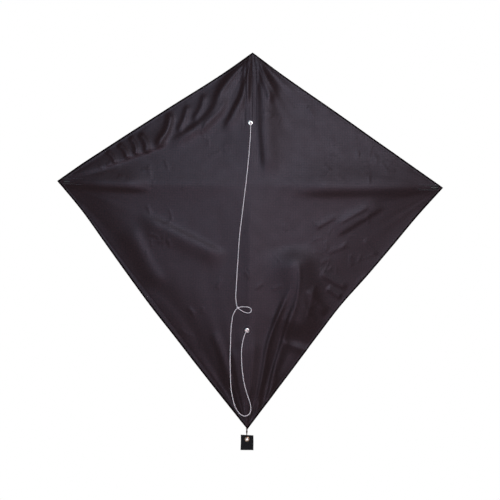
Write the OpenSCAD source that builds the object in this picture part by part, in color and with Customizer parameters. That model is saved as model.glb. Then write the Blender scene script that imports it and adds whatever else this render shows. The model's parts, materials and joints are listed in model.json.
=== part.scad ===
// Diamond kite with a two-leg bridle and a snap swivel at the tail, hung upright.
// The nose points up +Z and the face of the sail looks along -Y, with +X to its right.
// The origin lies in the middle of the sail cloth, where the spine and the cross spar meet.
// Behind the cloth come the hems and strips, then the pockets, then the rods.

/* [Sail] */
// Span from wing tip to wing tip
span = 762; // [600:2:1000]
// Height of the nose above the cross spar
nose_h = 261; // [256:1:340]
// Depth of the tail tip below the cross spar
tail_h = 481; // [476:1:640]
// Thickness of the sail cloth
sail_t = 0.4; // [0.2:0.1:0.4]
// Width of the sewn hem along each edge
hem_w = 6; // [3:0.5:10]
// Distance from the centre line to the line where each wing folds back
fold_x = 17; // [17:0.5:20]

/* [Frame] */
// Radius of the spine and of the spar rods
rod_r = 2; // [1.5:0.1:2]
// Distance of the rods behind the middle of the cloth
rod_y = 5; // [5:0.1:6]
// Wall of the vinyl cap on a rod's end
cap_wall = 1; // [0.6:0.1:1.2]
// Length of a vinyl cap
cap_l = 14; // [10:1:20]
// Length of each rod pocket
pocket_l = 42; // [30:1:50]
// Outer radius of the flexible centre tube
tube_r = 4; // [3.5:0.1:4.5]
// Length of the flexible centre tube
tube_l = 64; // [50:1:80]

/* [Bridle] */
// Distance of both eyelets to the left of the spine
eye_x = -2.8; // [-3.2:0.1:-2.6]
// Height of the upper eyelet above the cross spar
eye_top_z = 122; // [121:1:123]
// Height of the lower eyelet, below the cross spar
eye_low_z = -289; // [-290:1:-288]
// Radius of an eyelet's hole
eye_r = 2.4; // [2:0.1:2.4]
// Outer radius of an eyelet's flange
eye_flange_r = 5; // [4.5:0.1:5.5]
// Radius of the bridle cord
cord_r = 0.75; // [0.5:0.05:0.8]

/* [Tail] */
// Width of the webbing tab
tab_w = 25; // [20:1:30]
// Height of the webbing tab
tab_h = 30; // [24:1:40]
// Thickness of the webbing tab
tab_t = 1.6; // [1.2:0.1:1.6]
// Radius of the snap's wire
wire_r = 0.45; // [0.35:0.05:0.45]

/* [Hidden] */
$fn = 48;

// Sail
half_span = span / 2;
fold_gap = 0.6;                       // cloth left out on each side of a fold line
hem_start = fold_x + fold_gap + 0.4;  // the hems keep clear of the fold lines
hem_end = half_span - 10;             // and stop short of the wing tips
nose = [0, nose_h];
tip = [half_span, 0];
tail = [0, -tail_h];

// Layers behind the cloth, each given as the distance of its two faces
strip_layer = [0.25, 0.65];
hem_layer = [0.3, 0.8];
flange_layer = [0.9, 1.4];
washer_layer = [0.7, 1.2];
strip_x = [-15.7, 7];                 // the nose strip's left and right edges
strip_low_z = eye_top_z - 8;
strip_top_z = nose_h - 14;
patch_r = 11;

// Rods, caps and pockets
fit_gap = 0.05;                       // running clearance of a rod in its cap
cap_r = rod_r + fit_gap + cap_wall;
cap_end = 1.5;
sleeve_gap = 0.15;
sleeve_r = cap_r + sleeve_gap;        // bore of a pocket
cloth_wall = 0.7;
pocket_end = 1.2;
pocket_flange_w = 14;
nose_pocket_top = nose_h - 8;
tail_pocket_low = -tail_h + 10;
tip_pocket_end = half_span - 9;
spine_top = nose_pocket_top - pocket_end - 0.3;
spine_low = tail_pocket_low + pocket_end + 0.3;
spar_start = fold_x + 1.5;
spar_end = tip_pocket_end - pocket_end - 0.3;
tube_bore_r = rod_r + 0.1;

// Eyelets
barrel_r = eye_r + 0.6;
cloth_hole_r = barrel_r + fit_gap;
eyelet_front = -1.1;
eyelet_back = washer_layer[1] + 0.15;
hole_round = 0.4;                     // depth of the rounded lip round an eyelet's hole
flange_slope = 0.7;                   // width of the sloping rim of an eyelet's flange
flange_edge = 0.25;                   // thickness of the flange at its rim

// Hitches round the spine
hitch_turn = 0.7;                     // half the spacing of the hitch's two turns
hitch_r = rod_r + cord_r + fit_gap;
hitch_knot_r = 1.8;
hitch_knot_y = rod_r + hitch_knot_r + 0.1;

// Tail hardware, which hangs behind the sail plane
chain_y = 2;
loop_z = -tail_h - 3;                 // axis that the swivel swings on
loop_half = 1.1;
loop_top = tail_pocket_low;
swing_r = 0.45;
eye_wire_r = 0.4;
eye_ring_r = 1.4;
eye_ring_z = loop_z + swing_r + fit_gap - (eye_ring_r - eye_wire_r);
stem_head_z = eye_ring_z - 4.3;
stem_head_r = 1;
stem_head_h = 0.6;
barrel_h = 5;
barrel_low = eye_ring_z - 2.4 - barrel_h;
barrel_outer_r = 1.6;
barrel_bevel = 0.6;
chamber_r = 1.15;                     // the hollow in the barrel that holds the stem's head
chamber_low = 1.4;
chamber_h = 2.8;
snap_top = barrel_low - 1.6;
snap_half = 2.2;                      // half the distance between the snap's two legs
snap_bend_z = -tail_h - 19.8;         // centre of the snap's lower bend
hook_top = snap_bend_z + 0.8;
crown_bend = 0.9;                     // radius of the snap's upper corner
neck_r = 0.6;
neck_drop = 0.3;
fork_half = 1.1;                      // half the width of the fork that carries the gate
fork_wall = 0.4;
fork_back = 0.3;
fork_bar = 0.6;
fork_l = 2.4;
fork_h = 1;
pin_r = 0.4;
hub_r = 0.95;
hub_half = 0.5;
gate_gap = 0.3;                       // between the gate's end and the hook
tab_pivot_z = snap_bend_z - snap_half;
tab_hole_z = tab_pivot_z - 1.3;
tab_top_z = tab_hole_z + 8.3;
tab_eyelet_lip = 0.5;                 // how far the tab's eyelet stands out of the webbing
tab_washer_t = 0.35;

// Route of the bridle cord, from the upper hitch to the lower one
ROUTE = [
    [-2.8, 5, 122], [-2.8, -1.6, 122], [-2.8, -4.6, 119.6], [-2.5, -5.6, 113],
    [-4.2, -5.2, 70], [-9.3, -5, 8], [-15.4, -5, -51], [-20.8, -5, -104],
    [-23.4, -5, -155], [-25.4, -5, -200], [-25.6, -4.8, -230], [-22.2, -4.3, -243.6],
    [-14, -4.3, -250], [-6, -4.7, -253.6], [-0.5, -5, -254.2], [4.3, -5.2, -251.4],
    [4.3, -5.4, -245.8], [-0.5, -5.6, -243], [-7, -5.8, -242.2], [-15, -6.1, -242.2],
    [-22.8, -6.2, -245.4], [-29.5, -5.6, -255], [-33.4, -5, -274], [-35, -5, -312],
    [-34.6, -5, -370], [-30, -5, -418], [-22, -5, -443], [-12.5, -5, -454.8],
    [-3, -5, -457.6], [4.2, -5, -453.6], [7.2, -5, -445], [5.6, -5, -433],
    [-1.6, -5, -412], [-8.6, -5, -384], [-12.4, -5, -352], [-12, -5, -318],
    [-8, -5.4, -299], [-4.6, -5, -291], [-2.9, -2, -289], [-2.8, 5, -289]
];
knot_at = [-21.6, -5.2, -244.2];
knot_r = 2.4;
cord_sides = 8;
rings_per_span = 2;

// Height of the upper and of the lower edge at a distance from the centre line
function upper_z(x) = nose_h * (1 - x / half_span);
function lower_z(x) = -tail_h * (1 - x / half_span);

// Smooth curve through the points of a route, with its direction at each from the neighbours
function unit(v) = v / norm(v);
function slope(p, i) =
    i == 0 ? unit(p[1] - p[0])
    : i == len(p) - 1 ? unit(p[i] - p[i - 1])
    : let (a = norm(p[i] - p[i - 1]), b = norm(p[i + 1] - p[i]))
      unit((p[i] - p[i - 1]) * b / a + (p[i + 1] - p[i]) * a / b);
function between(p, i, u) =
    let (h = norm(p[i + 1] - p[i]))
    p[i] * (2 * u ^ 3 - 3 * u ^ 2 + 1) + slope(p, i) * h * (u ^ 3 - 2 * u ^ 2 + u)
    + p[i + 1] * (3 * u ^ 2 - 2 * u ^ 3) + slope(p, i + 1) * h * (u ^ 3 - u ^ 2);
function smooth(p, n) = concat(
    [for (i = [0 : len(p) - 2]) for (k = [0 : n - 1]) between(p, i, k / n)],
    [p[len(p) - 1]]
);

// A ring's normal, carried along the curve so that the tube doesn't twist
function heading(p, i) = unit(p[min(i + 1, len(p) - 1)] - p[max(i - 1, 0)]);
function square_to(n, t) = unit(n - (n * t) * t);
function normals(p, n, i = 0) =
    let (m = square_to(n, heading(p, i)))
    i == len(p) - 1 ? [m] : concat([m], normals(p, m, i + 1));

module cord(route, r, sides) {
    path = smooth(route, rings_per_span);
    normal = normals(path, [1, 0, 0]);
    last = len(path) - 1;
    points = [
        for (i = [0 : last]) for (k = [0 : sides - 1])
            let (a = 360 * k / sides, n = normal[i], b = cross(heading(path, i), n))
            path[i] + r * (cos(a) * n + sin(a) * b)
    ];
    walls = [
        for (i = [0 : last - 1]) for (k = [0 : sides - 1])
            let (a = i * sides + k, b = i * sides + (k + 1) % sides)
            each [[a, a + sides, b + sides], [a, b + sides, b]]
    ];
    start_face = [for (k = [0 : sides - 1]) k];
    end_face = [for (k = [0 : sides - 1]) last * sides + sides - 1 - k];
    polyhedron(points, concat(walls, [start_face, end_face]));
}

// A flat piece in the sail's plane, with its faces at two distances along Y
module layer(faces) {
    translate([0, faces[1], 0])
        rotate([90, 0, 0])
            linear_extrude(faces[1] - faces[0])
                children();
}

// A round piece whose axis points along +Y
module along_y() {
    rotate([-90, 0, 0]) children();
}

// The left wing is the right wing mirrored
module wing(side) {
    mirror([side < 0 ? 1 : 0, 0, 0]) children();
}

module sail_centre() {
    edge = fold_x - fold_gap;
    color("#3c373e")
        layer([-sail_t / 2, sail_t / 2])
            difference() {
                polygon([
                    nose, [edge, upper_z(edge)], [edge, lower_z(edge)],
                    tail, [-edge, lower_z(edge)], [-edge, upper_z(edge)]
                ]);
                for (z = [eye_top_z, eye_low_z]) {
                    translate([eye_x, z]) circle(r = cloth_hole_r);
                }
            }
}

module nose_strip() {
    color("#38343a")
        layer(strip_layer)
            difference() {
                translate([strip_x[0], strip_low_z])
                    square([strip_x[1] - strip_x[0], strip_top_z - strip_low_z]);
                translate([eye_x, eye_top_z]) circle(r = cloth_hole_r);
            }
}

module lower_patch() {
    color("#38343a")
        layer(strip_layer)
            translate([eye_x, eye_low_z])
                difference() {
                    circle(r = patch_r);
                    circle(r = cloth_hole_r);
                }
}

module sail_wing(side) {
    start = fold_x + fold_gap;
    color("#3c373e")
        wing(side)
            layer([-sail_t / 2, sail_t / 2])
                polygon([[start, upper_z(start)], [start, lower_z(start)], tip]);
}

// One hem: a band inside the edge from a to b, cut off near the fold line and the tip
module hem(side, a, b) {
    run = unit(b - a);
    inward = [run[1], -run[0]];
    color("#2c292e")
        wing(side)
            layer(hem_layer)
                intersection() {
                    polygon([a, b, b + inward * hem_w, a + inward * hem_w]);
                    translate([hem_start, -tail_h])
                        square([hem_end - hem_start, nose_h + tail_h]);
                }
}

// A sewn cloth pocket: a flat flange and a tunnel for the rod, open at z = 0
module pocket() {
    color("#2c292e")
        difference() {
            linear_extrude(pocket_l) {
                translate([-pocket_flange_w / 2, flange_layer[0]])
                    square([pocket_flange_w, flange_layer[1] - flange_layer[0]]);
                translate([-sleeve_r, flange_layer[0]])
                    square([2 * sleeve_r, rod_y - flange_layer[0]]);
                translate([0, rod_y]) circle(r = sleeve_r + cloth_wall);
            }
            translate([0, rod_y, -1])
                cylinder(r = sleeve_r, h = pocket_l - pocket_end + 1);
        }
}

module nose_pocket() {
    translate([0, 0, nose_pocket_top - pocket_l]) pocket();
}

module tail_pocket() {
    translate([0, 0, tail_pocket_low + pocket_l]) mirror([0, 0, 1]) pocket();
}

module tip_pocket(side) {
    wing(side)
        translate([tip_pocket_end - pocket_l, 0, 0])
            rotate([0, 90, 0])
                pocket();
}

module rod(length) {
    color("#1b1b1d")
        translate([0, rod_y, 0])
            cylinder(r = rod_r, h = length);
}

// A vinyl cap, open at z = 0 and closed at its far end
module cap() {
    color("#141416")
        translate([0, rod_y, 0])
            difference() {
                cylinder(r = cap_r, h = cap_l);
                translate([0, 0, -1])
                    cylinder(r = rod_r + fit_gap, h = cap_l - cap_end + 1);
            }
}

module spine_rod() {
    translate([0, 0, spine_low + cap_end])
        rod(spine_top - spine_low - 2 * cap_end);
}

module spine_top_cap() {
    translate([0, 0, spine_top - cap_l]) cap();
}

module spine_tail_cap() {
    translate([0, 0, spine_low + cap_l]) mirror([0, 0, 1]) cap();
}

module spar(side) {
    wing(side)
        translate([spar_start, 0, 0])
            rotate([0, 90, 0])
                rod(spar_end - spar_start - cap_end);
}

module spar_cap(side) {
    wing(side)
        translate([spar_end - cap_l, 0, 0])
            rotate([0, 90, 0])
                cap();
}

module centre_tube() {
    color("#202024")
        translate([0, rod_y, 0])
            difference() {
                rotate([0, 90, 0]) cylinder(r = tube_r, h = tube_l, center = true);
                rotate([0, 90, 0]) cylinder(r = tube_bore_r, h = tube_l + 2, center = true);
                cylinder(r = tube_bore_r, h = 4 * tube_r, center = true);
            }
}

// An eyelet: a domed flange in front and a barrel through the cloth, along +Y
module eyelet(front, back, cloth_front) {
    along_y()
        rotate_extrude()
            polygon([
                [eye_r, front + hole_round], [barrel_r, front],
                [eye_flange_r - flange_slope, front],
                [eye_flange_r, cloth_front - flange_edge], [eye_flange_r, cloth_front],
                [barrel_r, cloth_front], [barrel_r, back], [eye_r, back]
            ]);
}

module washer(faces) {
    along_y()
        translate([0, 0, faces[0]])
            difference() {
                cylinder(r = eye_flange_r, h = faces[1] - faces[0]);
                translate([0, 0, -1])
                    cylinder(r = cloth_hole_r, h = faces[1] - faces[0] + 2);
            }
}

module sail_eyelet(z) {
    color("#d9d9db")
        translate([eye_x, 0, z])
            eyelet(eyelet_front, eyelet_back, -sail_t / 2 - fit_gap);
}

module sail_washer(z) {
    color("#c9c9cc")
        translate([eye_x, 0, z])
            washer(washer_layer);
}

module bridle_line() {
    color("#c4bcc4") cord(ROUTE, cord_r, cord_sides);
}

module tow_knot() {
    color("#c4bcc4") translate(knot_at) sphere(r = knot_r);
}

// Two turns of the cord round the spine, and the knot that closes them
module hitch(z) {
    color("#c4bcc4")
        translate([0, rod_y, z]) {
            for (turn = [-hitch_turn, hitch_turn]) {
                rotate_extrude() translate([hitch_r, turn]) circle(r = cord_r);
            }
            translate([0, hitch_knot_y, 0]) sphere(r = hitch_knot_r);
        }
}

// A tan cord loop that comes out of the tail pocket's lower end
module tail_loop() {
    color("#b08d5b")
        translate([0, chain_y, loop_z]) {
            for (side = [-1, 1]) {
                translate([0, side * loop_half, 0]) {
                    cylinder(r = swing_r, h = loop_top - loop_z);
                    sphere(r = swing_r);
                }
            }
            translate([0, -loop_half, 0]) along_y() cylinder(r = swing_r, h = 2 * loop_half);
        }
}

module swivel_eye() {
    color("#8a5a33")
        translate([0, chain_y, 0]) {
            translate([0, 0, eye_ring_z])
                along_y()
                    rotate_extrude()
                        translate([eye_ring_r, 0])
                            circle(r = eye_wire_r);
            translate([0, 0, stem_head_z]) {
                cylinder(r = swing_r, h = eye_ring_z - eye_ring_r - stem_head_z);
                cylinder(r = stem_head_r, h = stem_head_h);
            }
        }
}

module swivel_barrel() {
    color("#8a5a33")
        translate([0, chain_y, barrel_low])
            difference() {
                rotate_extrude()
                    polygon([
                        [0, 0], [barrel_outer_r - barrel_bevel, 0], [barrel_outer_r, barrel_bevel],
                        [barrel_outer_r, barrel_h - barrel_bevel],
                        [barrel_outer_r - barrel_bevel, barrel_h], [0, barrel_h]
                    ]);
                translate([0, 0, chamber_low]) cylinder(r = chamber_r, h = chamber_h);
                cylinder(r = swing_r + fit_gap, h = barrel_h + 1);
            }
}

// A straight length of the snap's wire, up from z = low to z = high
module wire_leg(y, low, high) {
    translate([0, y, low]) cylinder(r = wire_r, h = high - low);
}

// A bend of the snap's wire in the plane x = 0, from one angle over a number of degrees
module wire_bend(radius, from, turn) {
    rotate([0, 90, 0])
        rotate_extrude(angle = turn, start = from)
            translate([radius, 0])
                circle(r = wire_r);
}

// The fork at the top of the snap, with the pin that the gate turns on
module gate_fork() {
    translate([-fork_half, fork_back, -fork_h / 2]) cube([2 * fork_half, fork_bar, fork_h]);
    for (x = [-fork_half, fork_half - fork_wall]) {
        translate([x, fork_back, -fork_h / 2]) cube([fork_wall, fork_l, fork_h]);
    }
    translate([-fork_half + fork_wall / 2, snap_half, 0])
        rotate([0, 90, 0])
            cylinder(r = pin_r, h = 2 * fork_half - fork_wall);
}

// The snap's bent wire, in the plane square to the tab, under its neck
module snap_wire() {
    color("#8a5a33")
        translate([0, chain_y, 0]) {
            translate([0, 0, snap_top - neck_drop]) cylinder(r = neck_r, h = barrel_low - snap_top + neck_drop);
            translate([0, crown_bend - snap_half, snap_top])
                along_y()
                    cylinder(r = wire_r, h = snap_half - crown_bend + fork_back + fork_bar / 2);
            translate([0, crown_bend - snap_half, snap_top - crown_bend]) wire_bend(crown_bend, 180, 90);
            wire_leg(-snap_half, snap_bend_z, snap_top - crown_bend);
            translate([0, 0, snap_bend_z]) wire_bend(snap_half, -90, 180);
            wire_leg(snap_half, snap_bend_z, hook_top);
            translate([0, 0, snap_top]) gate_fork();
        }
}

// The sprung gate: a small hub on the fork's pin and a leg that closes on the hook
module snap_gate() {
    color("#a2703f")
        translate([0, chain_y + snap_half, snap_top])
            difference() {
                union() {
                    translate([-hub_half, 0, 0]) rotate([0, 90, 0]) cylinder(r = hub_r, h = 2 * hub_half);
                    translate([0, 0, hook_top + gate_gap - snap_top])
                        cylinder(r = pin_r, h = snap_top - hook_top - gate_gap);
                }
                translate([-hub_half - 1, 0, 0])
                    rotate([0, 90, 0])
                        cylinder(r = pin_r + fit_gap, h = 2 * hub_half + 2);
            }
}

module tail_tab() {
    color("#26262a")
        layer([chain_y - tab_t / 2, chain_y + tab_t / 2])
            difference() {
                translate([-tab_w / 2, tab_top_z - tab_h]) square([tab_w, tab_h]);
                translate([0, tab_hole_z]) circle(r = cloth_hole_r);
            }
}

module tab_eyelet() {
    front = chain_y - tab_t / 2;
    color("#d9d9db")
        translate([0, 0, tab_hole_z])
            eyelet(front - tab_eyelet_lip, chain_y + tab_t / 2 + tab_eyelet_lip, front - fit_gap);
}

module tab_eyelet_washer() {
    back = chain_y + tab_t / 2;
    color("#c9c9cc")
        translate([0, 0, tab_hole_z])
            washer([back + fit_gap, back + fit_gap + tab_washer_t]);
}

sail_centre();
nose_strip();
lower_patch();
nose_pocket();
tail_pocket();
spine_rod();
spine_top_cap();
spine_tail_cap();
centre_tube();
sail_eyelet(eye_top_z);  // upper_eyelet
sail_washer(eye_top_z);  // upper_eyelet_washer
sail_eyelet(eye_low_z);  // lower_eyelet
sail_washer(eye_low_z);  // lower_eyelet_washer
bridle_line();
tow_knot();
hitch(eye_top_z);  // upper_hitch
hitch(eye_low_z);  // lower_hitch
sail_wing(-1);  // sail_left
hem(-1, nose, tip);  // left_upper_hem
hem(-1, tip, tail);  // left_lower_hem
tip_pocket(-1);  // left_tip_pocket
spar(-1);  // left_spar
spar_cap(-1);  // left_spar_cap
sail_wing(1);  // sail_right
hem(1, nose, tip);  // right_upper_hem
hem(1, tip, tail);  // right_lower_hem
tip_pocket(1);  // right_tip_pocket
spar(1);  // right_spar
spar_cap(1);  // right_spar_cap
tail_loop();
swivel_eye();
swivel_barrel();
snap_wire();
snap_gate();
tail_tab();
tab_eyelet();
tab_eyelet_washer();
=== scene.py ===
import json
import math
import bpy
import bmesh
import numpy as np
from mathutils import Matrix, Vector


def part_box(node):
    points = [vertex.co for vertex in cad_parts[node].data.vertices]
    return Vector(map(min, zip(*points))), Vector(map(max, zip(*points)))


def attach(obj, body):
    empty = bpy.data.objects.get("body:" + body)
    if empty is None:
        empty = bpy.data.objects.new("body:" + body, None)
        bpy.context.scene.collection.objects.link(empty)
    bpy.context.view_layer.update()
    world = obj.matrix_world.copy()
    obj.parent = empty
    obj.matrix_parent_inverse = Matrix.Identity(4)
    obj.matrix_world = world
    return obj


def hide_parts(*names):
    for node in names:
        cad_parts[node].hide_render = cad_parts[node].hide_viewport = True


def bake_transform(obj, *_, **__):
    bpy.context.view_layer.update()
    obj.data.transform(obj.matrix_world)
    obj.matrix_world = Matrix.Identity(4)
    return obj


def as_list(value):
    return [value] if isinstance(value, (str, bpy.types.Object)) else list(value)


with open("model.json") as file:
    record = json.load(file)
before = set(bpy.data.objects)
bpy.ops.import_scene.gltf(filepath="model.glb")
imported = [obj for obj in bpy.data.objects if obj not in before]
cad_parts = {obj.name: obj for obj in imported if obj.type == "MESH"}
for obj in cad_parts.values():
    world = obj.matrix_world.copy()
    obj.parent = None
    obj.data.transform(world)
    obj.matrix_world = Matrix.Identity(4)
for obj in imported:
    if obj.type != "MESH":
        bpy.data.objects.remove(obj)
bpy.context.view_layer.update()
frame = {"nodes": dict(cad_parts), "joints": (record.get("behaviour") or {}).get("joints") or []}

MM = 0.001


# ---------------- places taken from the frame

def joint_named(name):
    return next(j for j in frame["joints"] if j["name"] == name)


HALF_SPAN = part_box("sail_right")[1].x
NOSE_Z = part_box("sail_centre")[1].z
TAIL_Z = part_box("sail_centre")[0].z
FOLD_X = joint_named("right_wing_fold")["pos_m"][0]
ROD_Y = (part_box("spine_rod")[0].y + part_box("spine_rod")[1].y) / 2
ROD_R = (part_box("spine_rod")[1].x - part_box("spine_rod")[0].x) / 2
CORD_R = 0.75 * MM
CLOTH = 0.3 * MM  # thickness of each layer of sail cloth
BACKING = 0.38 * MM  # from the sail's middle back to the middle of a second layer
BEHIND_HEM = 0.48 * MM  # and to the stitches behind a hem,
BEHIND_BACKING = 0.55 * MM  # a second layer
BEHIND_FLANGE = 0.62 * MM  # and a pocket's flange


def middle(node):
    low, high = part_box(node)
    return (low + high) / 2


UPPER_EYE = middle("upper_eyelet")
LOWER_EYE = middle("lower_eyelet")
TAB_EYE = middle("tab_eyelet")
TAB_HOLE = 3.1 * MM  # radius of the hole in the webbing
TAB_HANG = Vector((0.7 * MM, 0, 0))  # the tab hangs loose on the snap, this far off its middle


# ---------------- camera

ROLL = math.radians(0.95)  # the kite hangs this far off upright in the view
VIEW_WIDTH = 0.989  # metres across the view at the sail
VIEW_CENTRE = (-0.0018, -0.1298)  # right and up from the origin, as the view sees them
LENS = 100
SENSOR = 36


def add_camera():
    right = Vector((math.cos(ROLL), 0, math.sin(ROLL)))
    up = Vector((-math.sin(ROLL), 0, math.cos(ROLL)))
    back = Vector((0, -1, 0))
    place = right * VIEW_CENTRE[0] + up * VIEW_CENTRE[1] + back * (VIEW_WIDTH * LENS / SENSOR)
    data = bpy.data.cameras.new("camera")
    data.lens = LENS
    data.sensor_width = SENSOR
    data.clip_end = 50
    camera = bpy.data.objects.new("camera", data)
    bpy.context.scene.collection.objects.link(camera)
    camera.matrix_world = Matrix.Translation(place) @ Matrix((right, up, back)).transposed().to_4x4()
    bpy.context.scene.camera = camera


add_camera()


# ---------------- curves

def unit(v):
    return v / np.linalg.norm(v, axis=-1, keepdims=True)


def smooth(points, per_span):
    """A smooth curve through points; its direction at each leans towards the nearer neighbour."""
    p = np.array(points, float)
    step = np.diff(p, axis=0)
    size = np.linalg.norm(step, axis=1)[:, None]
    heading = step / size
    slope = np.vstack([heading[:1], unit(heading[:-1] * size[1:] + heading[1:] * size[:-1]), heading[-1:]])
    u = (np.arange(per_span) / per_span)[None, :, None]
    a, b = p[:-1, None], p[1:, None]
    sa, sb = (slope[:-1] * size)[:, None], (slope[1:] * size)[:, None]
    curve = (a * (2 * u**3 - 3 * u**2 + 1) + sa * (u**3 - 2 * u**2 + u)
             + b * (3 * u**2 - 2 * u**3) + sb * (u**3 - u**2))
    return np.vstack([curve.reshape(-1, p.shape[1]), p[-1:]])


def distances(path):
    return np.concatenate([[0], np.cumsum(np.linalg.norm(np.diff(path, axis=0), axis=1))])


def spaced(path, gap):
    """The same path with its points about gap apart."""
    along = distances(path)
    marks = np.linspace(0, along[-1], max(2, int(round(along[-1] / gap)) + 1))
    return np.column_stack([np.interp(marks, along, path[:, k]) for k in range(path.shape[1])])


def ease(t):
    t = np.clip(t, 0, 1)
    return t * t * (3 - 2 * t)


# The bridle's route in mm, from the upper hitch through both eyelets to the lower hitch
BRIDLE = [
    (-2.8, 5, 122), (-2.8, -1.6, 122), (-2.8, -4.6, 119.6), (-2.5, -5.6, 113), (-4.2, -5.2, 70),
    (-9.3, -5, 8), (-15.4, -5, -51), (-20.8, -5, -104), (-23.4, -5, -155), (-25.4, -5, -200),
    (-25.6, -4.8, -230), (-22.2, -4.3, -243.6), (-14, -4.3, -250), (-6, -4.7, -253.6), (-0.5, -5, -254.2),
    (4.3, -5.2, -251.4), (4.3, -5.4, -245.8), (-0.5, -5.6, -243), (-7, -5.8, -242.2), (-15, -6.1, -242.2),
    (-22.8, -6.2, -245.4), (-29.5, -5.6, -255), (-33.4, -5, -274), (-35, -5, -312), (-34.6, -5, -370),
    (-30, -5, -418), (-22, -5, -443), (-12.5, -5, -454.8), (-3, -5, -457.6), (4.2, -5, -453.6),
    (7.2, -5, -445), (5.6, -5, -433), (-1.6, -5, -412), (-8.6, -5, -384), (-12.4, -5, -352),
    (-12, -5, -318), (-8, -5.4, -299), (-4.6, -5, -291), (-2.9, -2, -289), (-2.8, 5, -289),
]


# ---------------- meshes

def make(name, points, faces, material, uv=None, sharp=50):
    """A mesh piece with smooth faces, edges sharper than an angle kept, and its normals outward."""
    mesh = bpy.data.meshes.new(name)
    mesh.from_pydata(np.asarray(points, float).tolist(), [], [tuple(map(int, f)) for f in faces])
    if uv is not None:
        layer = mesh.uv_layers.new(name="cloth")
        corner = np.zeros(len(mesh.loops), np.int32)
        mesh.loops.foreach_get("vertex_index", corner)
        layer.data.foreach_set("uv", np.asarray(uv, np.float32)[corner].ravel())
    work = bmesh.new()
    work.from_mesh(mesh)
    bmesh.ops.recalc_face_normals(work, faces=work.faces)
    work.to_mesh(mesh)
    work.free()
    mesh.shade_smooth()
    mesh.set_sharp_from_angle(angle=math.radians(sharp))
    mesh.materials.append(material)
    obj = bpy.data.objects.new(name, mesh)
    bpy.context.scene.collection.objects.link(obj)
    return obj


def turn(count):
    """Angles at even steps round one turn."""
    return 2 * math.pi * np.arange(count) / count


def stand_in(obj, node, body):
    """The piece takes a CAD node's place and rides on a body."""
    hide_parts(node)
    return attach(obj, body)


def grid_faces(rows, columns, wrap=False, close=False):
    """Quads between a grid's points. wrap closes each row on itself, close joins the last row to the first."""
    return [
        (r * columns + c, r * columns + (c + 1) % columns,
         (r + 1) % rows * columns + (c + 1) % columns, (r + 1) % rows * columns + c)
        for r in range(rows if close else rows - 1) for c in range(columns if wrap else columns - 1)
    ]


def end_faces(count, last):
    """The two faces that close a tube, whose rings have count points and whose last ring starts at last."""
    return [tuple(range(count)), tuple(last + k for k in reversed(range(count)))]


def vertex_normals(points, faces):
    normals = np.zeros_like(points)
    for size in (3, 4):
        f = np.array([g for g in faces if len(g) == size], int)
        if len(f) == 0:
            continue
        across = np.cross(points[f[:, 2]] - points[f[:, 0]], points[f[:, -1]] - points[f[:, 1]])
        for k in range(size):
            np.add.at(normals, f[:, k], across)
    return unit(normals + 1e-15)


def doubled(faces, count):
    """Faces of a sheet of count points, of its copy behind, and of the rim along every free edge."""
    edges = dict.fromkeys((a, b) for f in faces for a, b in zip(f, f[1:] + f[:1]))
    rim = [(b, a, a + count, b + count) for a, b in edges if (b, a) not in edges]
    return list(faces) + [tuple(i + count for i in reversed(f)) for f in faces] + rim


def thicken(points, faces, thickness):
    """A closed sheet of some thickness about the points."""
    offset = vertex_normals(points, faces) * thickness / 2
    return np.vstack([points + offset, points - offset]), doubled(faces, len(points))


def punch(flat, faces, holes, radius):
    """Cuts round holes in a sheet laid out flat, and draws each hole's edge onto its circle. Returns the
    points that are left, their faces, and which of the old points they are."""
    flat = flat.copy()
    for hole in holes:
        centre = np.array((hole.x, hole.z))
        away = flat - centre
        reach = np.linalg.norm(away, axis=1)
        inside = reach < radius
        cut = [any(inside[i] for i in f) for f in faces]
        rim = np.array(sorted({i for f, gone in zip(faces, cut) if gone for i in f if not inside[i]}))
        seam = rim[flat[rim, 0] == 0]
        flat[rim] = centre + away[rim] / reach[rim, None] * radius
        flat[seam, 0] = 0
        faces = [f for f, gone in zip(faces, cut) if not gone]
    used = sorted({i for f in faces for i in f})
    place = {old: new for new, old in enumerate(used)}
    return flat[used], [tuple(place[i] for i in f) for f in faces], used


def sweep(path, radius, sides, closed=False):
    """A tube along a path: its points, faces and a UV of turns round and metres along.
    radius is a number, or a function of the angle round the tube and the distance along it."""
    path = np.asarray(path, float)
    if closed:
        tangent = unit(np.roll(path, -1, axis=0) - np.roll(path, 1, axis=0))
    else:
        tangent = unit(np.gradient(path, axis=0))
    normal = np.zeros_like(path)
    start = np.eye(3)[np.argmin(abs(tangent[0]))]
    for i, t in enumerate(tangent):
        start = start - t * (start @ t)
        start = start / np.linalg.norm(start)
        normal[i] = start
    side = np.cross(tangent, normal)
    angle = turn(sides)
    along = distances(path)
    size = radius(angle[None, :], along[:, None]) if callable(radius) else radius
    size = np.broadcast_to(size, (len(path), sides))[..., None]
    ring = np.cos(angle)[None, :, None] * normal[:, None] + np.sin(angle)[None, :, None] * side[:, None]
    points = (path[:, None] + size * ring).reshape(-1, 3)
    faces = grid_faces(len(path), sides, wrap=True, close=closed)
    if not closed:
        faces += end_faces(sides, (len(path) - 1) * sides)
    uv = np.column_stack([np.tile(angle / (2 * math.pi), len(path)), np.repeat(along, sides)])
    return points, faces, uv


def braid(radius, strands=4, pitch=3.4 * MM, relief=0.09):
    """The radius of a round braid: two sets of strands wind opposite ways, over and under."""
    def size(angle, along):
        one = strands * angle / (2 * math.pi) + along / pitch * 2
        two = strands * angle / (2 * math.pi) - along / pitch * 2
        over = np.cos(math.pi * (one + two)) * 0.35
        high = np.maximum(abs(np.sin(math.pi * one)) + over, abs(np.sin(math.pi * two)) - over)
        return radius * (1 - relief + relief * high)
    return size


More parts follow.
